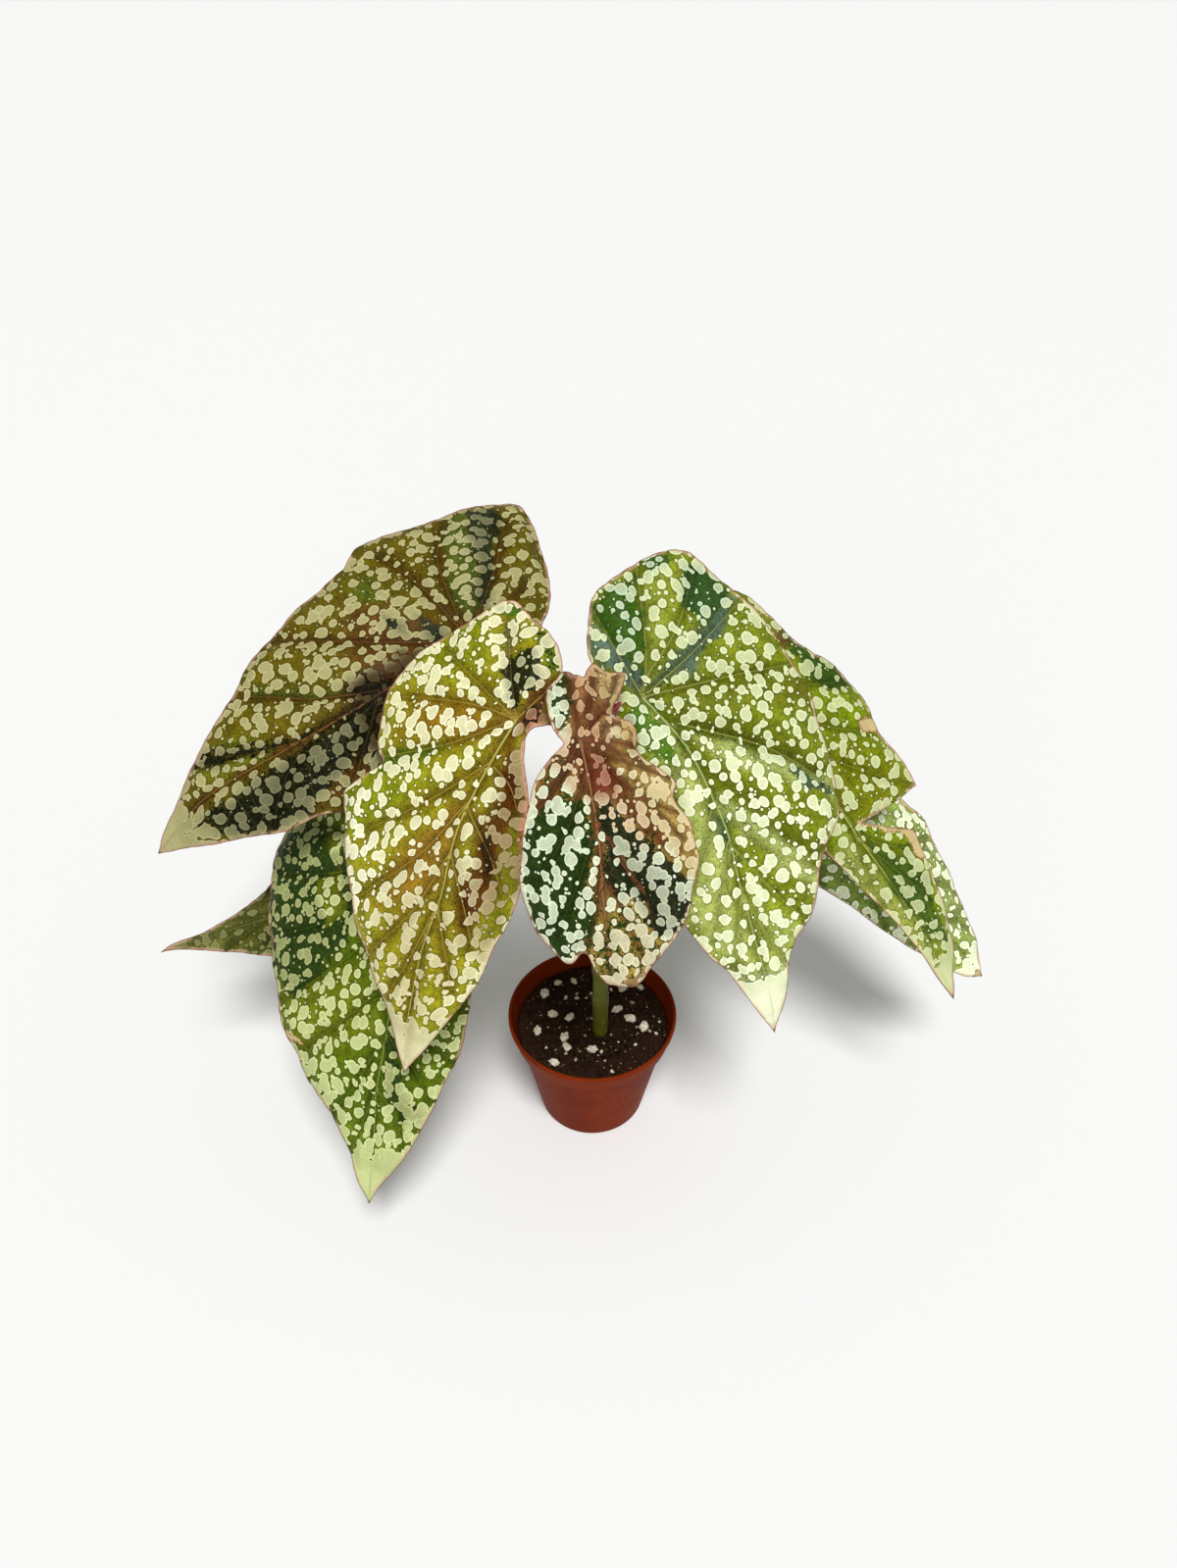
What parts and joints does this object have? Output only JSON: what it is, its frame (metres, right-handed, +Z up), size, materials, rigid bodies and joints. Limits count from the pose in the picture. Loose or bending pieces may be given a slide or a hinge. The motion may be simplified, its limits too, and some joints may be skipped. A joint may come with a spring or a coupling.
{
  "type": "potted polka dot begonia",
  "caption": "Young cane begonia with drooping, angel-wing leaves covered in silvery dots, growing from dark potting mix in a small round nursery pot.",
  "frame": {"origin": "centre of the pot's flat base, on the surface that it stands on", "axes": "+Z up along the pot's axis; -Y towards the side that the leaves face; +X to the right seen from that side"},
  "size_m": [0.3824, 0.214, 0.2824],
  "materials": {
    "pot": "satin",
    "soil": "matte",
    "stem": "satin",
    "leaf_olive": "satin",
    "leaf_green": "satin",
    "leaf_dark": "satin",
    "leaf_pink": "satin",
    "bud": "satin",
    "perlite": "matte"
  },
  "bodies": {
    "root": {"pot": "pot", "soil": "soil", "cane": "stem", "leaf_upper_left": "leaf_olive", "petiole_upper_left": "stem", "leaf_front_left": "leaf_olive", "petiole_front_left": "stem", "leaf_young": "leaf_pink", "petiole_young": "stem", "leaf_front_right": "leaf_green", "petiole_front_right": "stem", "leaf_upper_right": "leaf_green", "petiole_upper_right": "stem", "leaf_lower_right": "leaf_green", "petiole_lower_right": "stem", "leaf_lower_left": "leaf_green", "petiole_lower_left": "stem", "leaf_shaded_left": "leaf_dark", "petiole_shaded_left": "stem", "tip_bud": "bud", "perlite_01": "perlite", "perlite_02": "perlite", "perlite_03": "perlite", "perlite_04": "perlite", "perlite_05": "perlite", "perlite_06": "perlite", "perlite_07": "perlite", "perlite_08": "perlite", "perlite_09": "perlite", "perlite_10": "perlite", "perlite_11": "perlite", "perlite_12": "perlite", "perlite_13": "perlite", "perlite_14": "perlite", "perlite_15": "perlite"}
  },
  "joints": []
}
